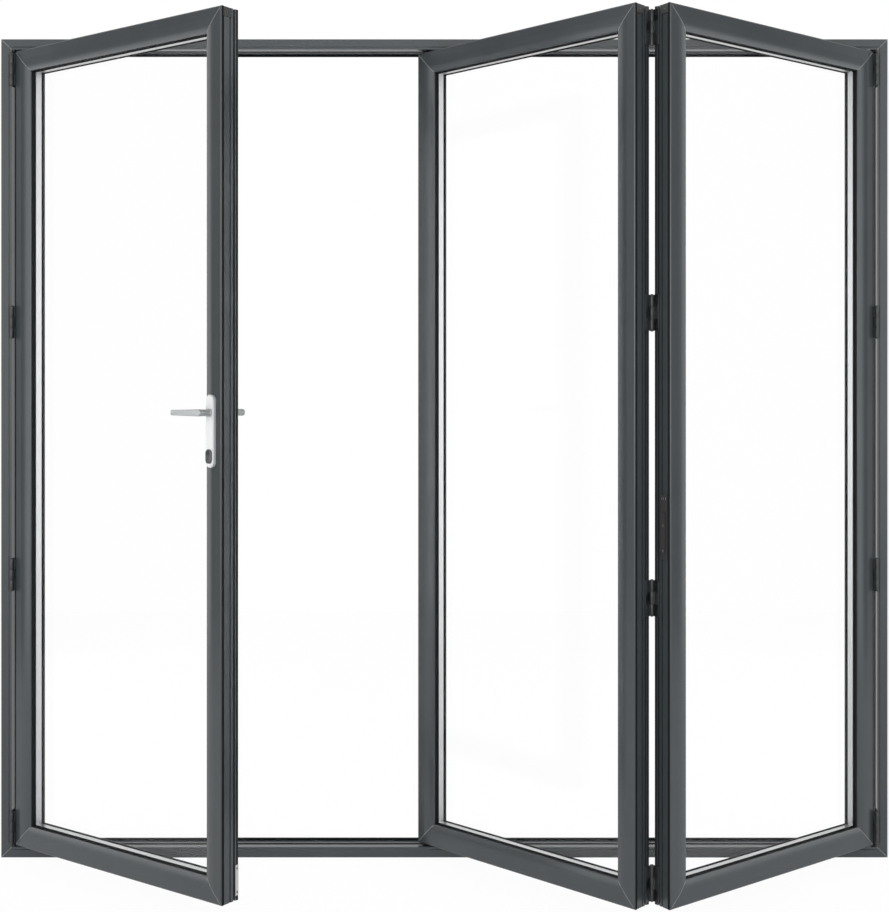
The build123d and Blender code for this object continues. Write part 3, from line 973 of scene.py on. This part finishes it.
class DOOR_OT_lever_furniture(bpy.types.Operator):
    """Model the two levers and the key covers of the traffic door's lock"""

    bl_idname = "door.lever_furniture"
    bl_label = "Lever Furniture"

    def lever(self):
        """A tapered bar with a square tip on a turned neck, pointing along -X from the spindle."""
        length, tip_length, tip_half, tip_corner = 91.0, 12.0, 6.2, 3.0
        root_radius, edge_radius, back, front = 8.0, 3.4, 32.0, 43.9
        grip = turned([(0, back), (root_radius, back), (root_radius, front), (0, front)], 48)
        tip_end = (tip_length - length, tip_half, front)
        tip = block((-length, -tip_half, back), tip_end, tip_corner)
        bar = join_pieces([grip, tip])
        bpy.ops.object.mode_set(mode="EDIT")
        bpy.ops.mesh.select_all(action="SELECT")
        bpy.ops.mesh.convex_hull()
        close_up()
        bpy.ops.mesh.dissolve_limited(angle_limit=math.radians(0.5))
        bpy.ops.object.mode_set(mode="OBJECT")
        softened(bar, edge_radius, 5)
        neck = turned(
            [
                (0, 9.2),
                (9.2, 9.2),
                (9.4, 9.6),
                (9.4, 11),
                (8.8, 11.8),
                (7.9, 12.2),
                (7.6, 20),
                (7.8, 30),
                (7.8, 34),
                (0, 34),
            ],
            40,
        )
        return join_pieces([bar, neck])

    def key_cover(self):
        """The oval cover round the key cylinder's end, with the core and its keyway sunk in it."""
        cover = block((-8.9, -23.5, 9.1), (8.9, 9.1, 12.4), 8.8, 0.5)
        cut_out(cover, turned([(0, 12.0), (5.6, 12.0), (5.6, 14), (0, 14)], 32))
        return cut_out(cover, block((-0.8, -3.4, 11.2), (0.8, 3.4, 14)))

    def execute(self, context):
        door, width, _ = LEAVES["door"]
        lock_x = width / MM - LOCK_BACKSET
        turn = Matrix.Rotation(math.radians(180), 4, "Y")
        inside = Matrix.Translation((0, 0, -LEAF_DEPTH * MM)) @ turn
        covers = []
        for side, facing in (("outside", Matrix.Identity(4)), ("inside", inside)):
            on_spindle = Matrix.Translation(Vector((lock_x, SPINDLE_RISE, 0)) * MM)
            lever = self.lever()
            if side == "inside":
                # Turned to face indoors, the lever still points to the hinges.
                lever.data.transform(Matrix.Rotation(math.radians(180), 4, "Z"))
            name = f"{side}_lever_handle"
            settle(lever, name, "satin_silver", "lever", door @ on_spindle @ facing, 35)
            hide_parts(f"{side}_lever")
            on_cylinder = Matrix.Translation(Vector((lock_x, CYLINDER_RISE, 0)) * MM)
            cover = self.key_cover()
            cover.matrix_world = door @ on_cylinder @ facing
            covers.append(cover)
        settle(join_pieces(covers), "key_covers", "dark_steel", "traffic_door", smooth=35)
        return {"FINISHED"}


class DOOR_OT_small_fixings(bpy.types.Operator):
    """Add the screws of the bolt handle, the caps and the catch plate, and the bolt's bars"""

    bl_idname = "door.small_fixings"
    bl_label = "Small Fixings"

    def screws(self, leaf, facing, spots, radius):
        """Screw heads on a leaf's edge: x across it, height, and distance behind the front."""
        place, width, _ = LEAVES[leaf]
        turn = Matrix.Rotation(math.radians(90 * facing), 4, "Y")
        edge = 0.0 if facing < 0 else width / MM
        where = []
        for out, rise, back in spots:
            spot = Vector((edge + facing * out, rise, -back)) * MM
            where.append(place @ Matrix.Translation(spot) @ turn)
        return copies(screw_head(radius, 0.9), where)

    def execute(self, context):
        _, _, tall = LEAVES["door"]
        in_cap = [(2.0, tall / MM - CAP_SCREW_DROP, 18)]
        on_door = [
            self.screws("door", 1, in_cap, 2.6),
            self.screws("door", 1, [(1.5, 19, 46.5), (1.5, 73, 46.5)], 2.4),
        ]
        name = "door_edge_screws"
        settle(join_pieces(on_door), name, "dark_steel", "traffic_door", smooth=35)
        in_bolt = [(6.0, BOLT_RISE + rise, BOLT_BACK) for rise in (4.5, -53.5)]
        on_pair = [
            self.screws("middle", 1, in_cap, 2.6),
            self.screws("right", -1, in_cap, 2.6),
            self.screws("right", -1, in_bolt, 3.6),
        ]
        settle(join_pieces(on_pair), "folding_edge_screws", "dark_steel", "frame", smooth=35)
        place, _, _ = LEAVES["right"]
        slats = []
        for number in (-1, 0, 1):
            slat = block((-1.1, -3.6, 0), (1.1, 3.6, 1.6), 1.0, 0.2)
            slat.matrix_world = (
                place
                @ Matrix.Translation(Vector((0, BOLT_RISE + 64.5, 6 * number - BOLT_BACK)) * MM)
                @ Matrix.Rotation(math.radians(-90), 4, "Y")
            )
            slats.append(slat)
        settle(join_pieces(slats), "bolt_slot_bars", "satin_silver", "frame", smooth=35)
        return {"FINISHED"}


class DOOR_OT_studio(bpy.types.Operator):
    """Set up the white floor, the soft lights, the mirrored cards and the camera"""

    bl_idname = "door.studio"
    bl_label = "Studio"

    # Places, aims and sizes of the lamps in metres; side lamps stand at both signs of x
    STRIPS = {"rear": 1.5, "fore": -2.1}
    STRIP_AWAY = 3.4
    STRIP_RISE = 1.3
    STRIP_AIM = (0, -0.2, 1.1)
    STRIP_SIZE = (2.0, 2.6)
    RAIL_LIGHT_AWAY = 2.9
    RAIL_LIGHT_AIM = (0, -0.45, 0.98)
    RAIL_LIGHT_SIZE = (1.6, 1.8)
    LEVER_LIGHT = ((-2.6, -0.95, 1.1), (-0.55, -0.5, 1.1), (1.2, 1.2))
    FRONT_LIGHT = ((-0.3, -5.2, 1.7), (0, 0, 1.2), (4.2, 2.0))
    CAMERA_PLACE = (0.2967, -3.618, 1.1895)
    SENSOR_WIDTH = 36.0

    def seen_directly(self, tree):
        """1 for rays from the camera, a reflection or through glass, which see plain white."""
        path = add_node(tree, "LightPath")
        either = add_node(
            tree,
            "Math",
            links={0: path.outputs["Is Camera Ray"], 1: path.outputs["Is Glossy Ray"]},
            operation="MAXIMUM",
        )
        seen = add_node(
            tree,
            "Math",
            links={0: either.outputs[0], 1: path.outputs["Is Transmission Ray"]},
            operation="MAXIMUM",
        )
        return seen.outputs[0]

    def add_floor(self, studio):
        start()
        bpy.ops.mesh.primitive_plane_add(size=studio.floor_size, location=(0, 0, 0))
        floor = bpy.context.object
        bpy.ops.object.mode_set(mode="EDIT")
        bpy.ops.mesh.subdivide(number_cuts=3)
        bpy.ops.object.mode_set(mode="OBJECT")
        floor.name = "studio_floor"
        material, tree = new_material("matt_white_floor")
        matt = add_node(tree, "BsdfDiffuse", {"Color": linear("#f7f7f7")})
        white = add_node(tree, "Emission", {"Strength": 1.0})
        share = add_node(
            tree,
            "Math",
            {1: studio.floor_glow},
            {0: self.seen_directly(tree)},
            operation="MULTIPLY",
        )
        mixed = add_node(tree, "MixShader", links={"Fac": share.outputs[0]})
        tree.links.new(matt.outputs["BSDF"], mixed.inputs[1])
        tree.links.new(white.outputs["Emission"], mixed.inputs[2])
        show(tree, mixed.outputs["Shader"])
        floor.data.materials.append(material)

    def add_room(self, studio):
        world = bpy.data.worlds.new("white_studio")
        bpy.context.scene.world = world
        world.use_nodes = True
        tree = world.node_tree
        tree.nodes.clear()
        plain = linear("#ffffff")
        room = add_node(tree, "Background", {"Color": plain, "Strength": studio.room_level})
        white = add_node(tree, "Background", {"Color": plain, "Strength": 1.0})
        mixed = add_node(tree, "MixShader", links={"Fac": self.seen_directly(tree)})
        tree.links.new(room.outputs["Background"], mixed.inputs[1])
        tree.links.new(white.outputs["Background"], mixed.inputs[2])
        add_node(tree, "OutputWorld", links={"Surface": mixed.outputs["Shader"]})

    def add_light(self, name, place, target, size, power):
        light = bpy.data.lights.new(name, "AREA")
        light.shape = "RECTANGLE"
        light.size, light.size_y = size
        light.energy = power
        lamp = bpy.data.objects.new(name, light)
        bpy.context.scene.collection.objects.link(lamp)
        lamp.location = place
        lamp.rotation_euler = (Vector(target) - Vector(place)).to_track_quat("-Z", "Y").to_euler()
        return lamp

    def card(self, name, place, turn, size):
        """A glowing card that only reflections see, with its material and tree."""
        start()
        bpy.ops.mesh.primitive_plane_add(size=1, location=place, rotation=turn)
        card = bpy.context.object
        card.scale = (*size, 1)
        bpy.ops.object.transform_apply(location=True, rotation=True, scale=True)
        card.name = name
        material, tree = new_material(name)
        card.data.materials.append(material)
        for sense in ("camera", "diffuse", "transmission", "shadow", "volume_scatter"):
            setattr(card, f"visible_{sense}", False)
        return tree

    def add_side_card(self, hand, side, studio):
        """A tall graded card beside the door, mirrored by the leaves."""
        first, last = CARD_GLOW[0][0], CARD_GLOW[-1][0]
        place = (side * CARD_AWAY, (first + last) / 2, CARD_MIDDLE)
        turn = (0, math.radians(90), 0)
        tree = self.card(f"graded_card_{hand}", place, turn, (CARD_TALL, last - first))
        spot = add_node(tree, "TexCoord").outputs["Object"]
        along = add_node(tree, "SeparateXYZ", links={"Vector": spot}).outputs["Y"]
        limits = {"From Min": first, "From Max": last}
        share = add_node(tree, "MapRange", limits, {"Value": along}).outputs["Result"]
        ramp = add_node(tree, "ValToRGB", links={"Fac": share})
        stops = ramp.color_ramp.elements
        while len(stops) < len(CARD_GLOW):
            stops.new(0.5)
        for stop, (distance, glow) in zip(stops, CARD_GLOW):
            stop.position = (distance - first) / (last - first)
            stop.color = (glow, glow, glow, 1)
        colour = {"Color": ramp.outputs["Color"]}
        shine = add_node(tree, "Emission", {"Strength": studio.card_bright}, colour)
        show(tree, shine.outputs["Emission"])

    def add_front_card(self, studio):
        """A plain card behind the camera, mirrored by the outer frame's face."""
        turn = (math.radians(90), 0, 0)
        tree = self.card("front_card", (-0.5, -8.0, 2.5), turn, (10, 5))
        shine = add_node(tree, "Emission", {"Strength": studio.front_card})
        show(tree, shine.outputs["Emission"])

    def add_side_lights(self, hand, side, rails, studio):
        """Two strips that only light, and a lamp that only shines in the rails."""
        for name, y in self.STRIPS.items():
            place = (side * self.STRIP_AWAY, y, self.STRIP_RISE)
            strip = self.add_light(
                f"strip_{name}_{hand}", place, self.STRIP_AIM, self.STRIP_SIZE, studio.strip_power
            )
            strip.visible_glossy = False
        aim = self.RAIL_LIGHT_AIM
        place = (side * self.RAIL_LIGHT_AWAY, *aim[1:])
        name = f"rail_light_{hand}"
        lamp = self.add_light(name, place, aim, self.RAIL_LIGHT_SIZE, studio.rail_power)
        lamp.visible_diffuse = False
        lamp.light_linking.receiver_collection = rails

    def add_lever_light(self, studio):
        """A lamp that only lights the outside lever and its plate."""
        furniture = bpy.data.collections.new("lit_furniture")
        furniture.objects.link(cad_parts["outside_backplate"])
        furniture.objects.link(bpy.data.objects["outside_lever_handle"])
        lamp = self.add_light("lever_light", *self.LEVER_LIGHT, studio.furniture_power)
        lamp.visible_glossy = False
        lamp.light_linking.receiver_collection = furniture

    def add_camera(self, scene, lens):
        """The photograph's view, level, with its crop made by the lens's shift."""
        camera = bpy.data.cameras.new("photo_view")
        camera.lens = lens
        camera.sensor_width = self.SENSOR_WIDTH
        longest = max(IMAGE_WIDTH, IMAGE_HEIGHT)
        camera.shift_x = (IMAGE_WIDTH / 2 - FACED_COLUMN) / longest
        camera.shift_y = (LEVEL_ROW - IMAGE_HEIGHT / 2) / longest
        viewer = bpy.data.objects.new("photo_view", camera)
        scene.collection.objects.link(viewer)
        viewer.location = self.CAMERA_PLACE
        viewer.rotation_euler = (math.radians(90), 0, 0)
        scene.camera = viewer

    def execute(self, context):
        studio = context.scene.door_studio
        self.add_floor(studio)
        self.add_room(studio)
        rails = bpy.data.collections.new("lit_rails")
        for leaf in BODY_OF_LEAF:
            rails.objects.link(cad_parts[f"{leaf}_rails"])
        for hand, side in (("left", -1), ("right", 1)):
            self.add_side_card(hand, side, studio)
            self.add_side_lights(hand, side, rails, studio)
        self.add_front_card(studio)
        self.add_lever_light(studio)
        self.add_light("front_soft", *self.FRONT_LIGHT, studio.front_power)
        self.add_camera(context.scene, studio.lens)
        context.scene.view_settings.view_transform = "Standard"
        return {"FINISHED"}


class DOOR_PT_panel(bpy.types.Panel):
    bl_idname = "DOOR_PT_panel"
    bl_label = "Bifold Door"
    bl_space_type = "VIEW_3D"
    bl_region_type = "UI"
    bl_category = "Bifold Door"

    def draw(self, context):
        for step in STEPS:
            self.layout.operator(step.bl_idname)
        for setting in SETTINGS:
            group = getattr(context.scene, setting)
            for name in group.__annotations__:
                self.layout.prop(group, name)


STEPS = (
    DOOR_OT_finish_frame,
    DOOR_OT_glazing_gaskets,
    DOOR_OT_edge_seals,
    DOOR_OT_mitre_joints,
    DOOR_OT_hinges,
    DOOR_OT_lever_furniture,
    DOOR_OT_small_fixings,
    DOOR_OT_studio,
)
SETTINGS = {
    "door_finishes": DoorFinishes,
    "door_details": DoorDetails,
    "door_studio": DoorStudio,
}


def register():
    for made in (*SETTINGS.values(), *STEPS, DOOR_PT_panel):
        bpy.utils.register_class(made)
    for name, group in SETTINGS.items():
        setattr(bpy.types.Scene, name, bpy.props.PointerProperty(type=group))


def unregister():
    for name in SETTINGS:
        delattr(bpy.types.Scene, name)
    for made in reversed((*SETTINGS.values(), *STEPS, DOOR_PT_panel)):
        bpy.utils.unregister_class(made)


def main():
    register()
    for step in STEPS:
        space, operator = step.bl_idname.split(".")
        getattr(getattr(bpy.ops, space), operator)()


if __name__ == "__main__":
    main()
